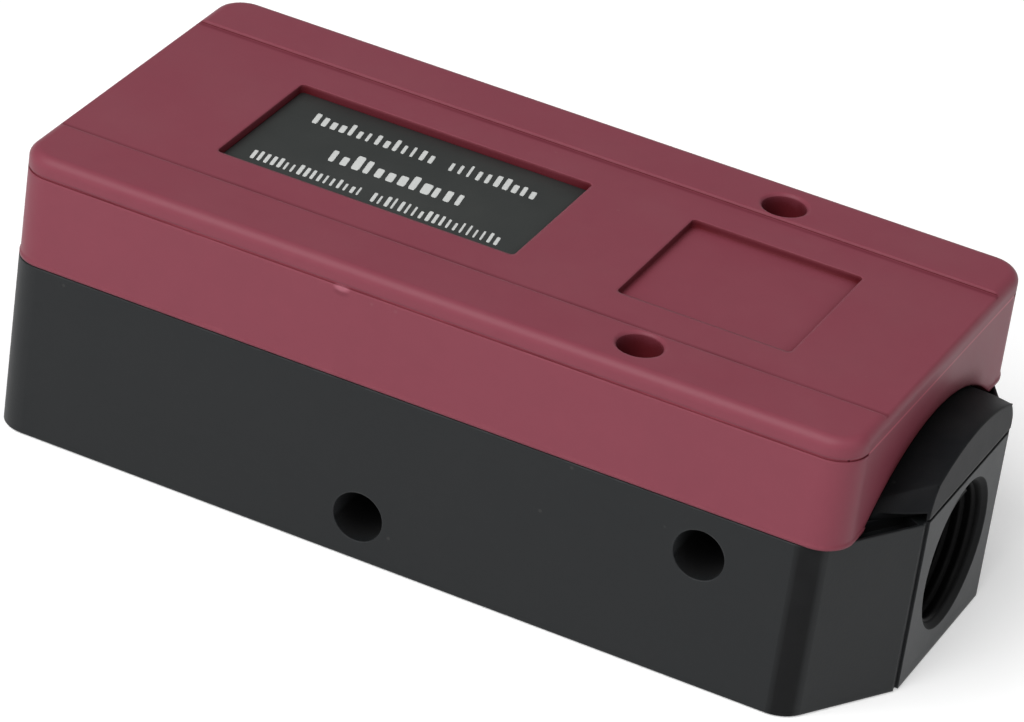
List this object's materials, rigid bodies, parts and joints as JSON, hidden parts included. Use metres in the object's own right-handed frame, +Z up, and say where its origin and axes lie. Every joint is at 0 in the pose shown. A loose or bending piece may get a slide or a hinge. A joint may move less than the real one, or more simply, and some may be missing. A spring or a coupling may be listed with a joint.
{
  "type": "vacuum ejector",
  "caption": "Box-shaped multi-stage vacuum ejector with a screwed cover, a threaded vacuum port on a tapered nose, a threaded air inlet and through holes across its sides.",
  "frame": {"origin": "on the underside, at the middle of the bounding box", "axes": "+X along the housing towards the vacuum port, +Z up through the cover"},
  "size_m": [0.1096, 0.051, 0.036],
  "materials": {
    "body_plastic": "fine-grained black moulding",
    "block_plastic": "fine-grained black moulding",
    "cover_plastic": "satin burgundy moulding",
    "plate_film": "dark printed film",
    "seal_rubber": "moulded rubber",
    "flap_rubber": "soft moulded rubber",
    "brass": "turned",
    "felt": "felted fibre",
    "screw_steel": "zinc plated"
  },
  "bodies": {
    "housing": {"lower_body": "body_plastic", "nozzle_block": "block_plastic", "top_cover": "cover_plastic", "nameplate": "plate_film", "body_gasket": "seal_rubber", "cover_gasket": "seal_rubber", "riser_seal": "seal_rubber", "inlet_insert": "brass", "inlet_strainer": "brass", "nozzle_1": "brass", "nozzle_2": "brass", "nozzle_3": "brass", "nozzle_4": "brass", "nozzle_seal_1": "seal_rubber", "nozzle_seal_2": "seal_rubber", "nozzle_seal_3": "seal_rubber", "nozzle_seal_4": "seal_rubber", "silencer_bar_near": "felt", "silencer_bar_far": "felt", "cover_screw_near": "screw_steel", "cover_screw_far": "screw_steel", "block_screw_1": "screw_steel", "block_screw_2": "screw_steel", "block_screw_3": "screw_steel", "block_screw_4": "screw_steel"},
    "flap_1": {"check_flap_1": "flap_rubber"},
    "flap_2": {"check_flap_2": "flap_rubber"},
    "flap_3": {"check_flap_3": "flap_rubber"}
  },
  "joints": [
    {"name": "flap_1_hinge", "type": "hinge", "parent": "housing", "child": "flap_1", "pos_m": [-0.0329, 0, 0.0203], "axis": [0, -1, 0], "range_deg": [0, 14]},
    {"name": "flap_2_hinge", "type": "hinge", "parent": "housing", "child": "flap_2", "pos_m": [-0.0149, 0, 0.0203], "axis": [0, -1, 0], "range_deg": [0, 14]},
    {"name": "flap_3_hinge", "type": "hinge", "parent": "housing", "child": "flap_3", "pos_m": [0.0051, 0, 0.0203], "axis": [0, -1, 0], "range_deg": [0, 14]}
  ]
}
